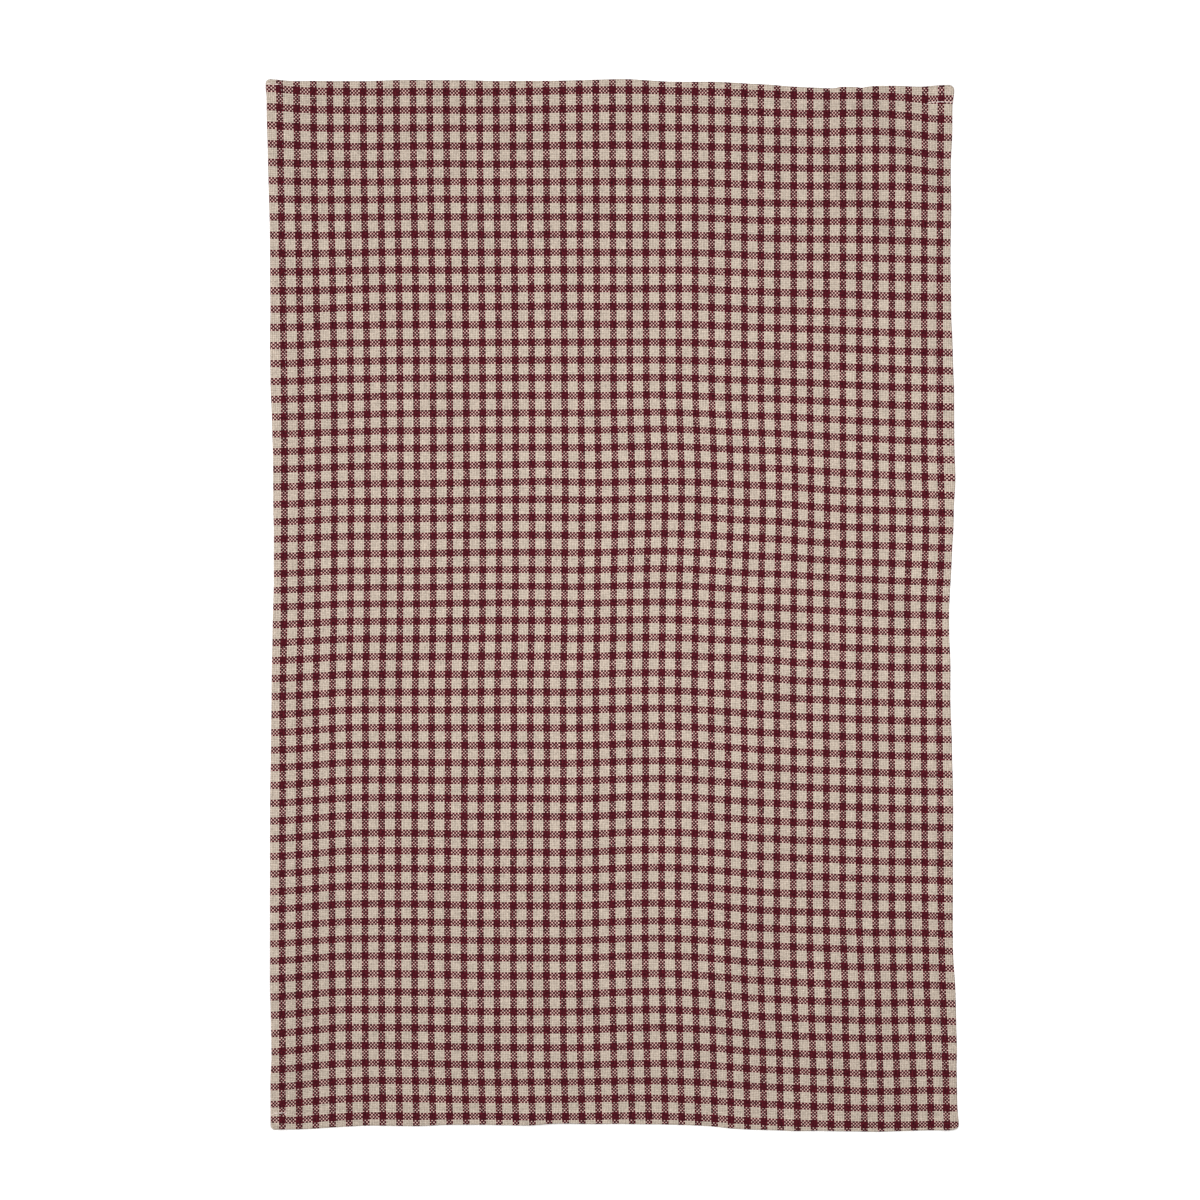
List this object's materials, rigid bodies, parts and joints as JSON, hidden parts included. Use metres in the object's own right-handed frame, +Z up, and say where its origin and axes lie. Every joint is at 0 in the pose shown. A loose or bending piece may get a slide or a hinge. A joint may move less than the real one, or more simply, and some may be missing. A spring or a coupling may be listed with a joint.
{
  "type": "tea towel",
  "caption": "Rectangular tea towel in a small burgundy and beige check, with a narrow turned hem on every side, lying flat with soft creases.",
  "frame": {"origin": "under the middle of the towel's outline, on the surface it lies on", "axes": "+X across the towel to the right, +Y along it towards the end shown at the top, +Z up off the surface"},
  "size_m": [0.466, 0.7136, 0.0061],
  "materials": {
    "checked_cotton": "matte plain weave, burgundy and beige check"
  },
  "bodies": {
    "root": {"tea_towel": "checked_cotton"}
  },
  "joints": []
}
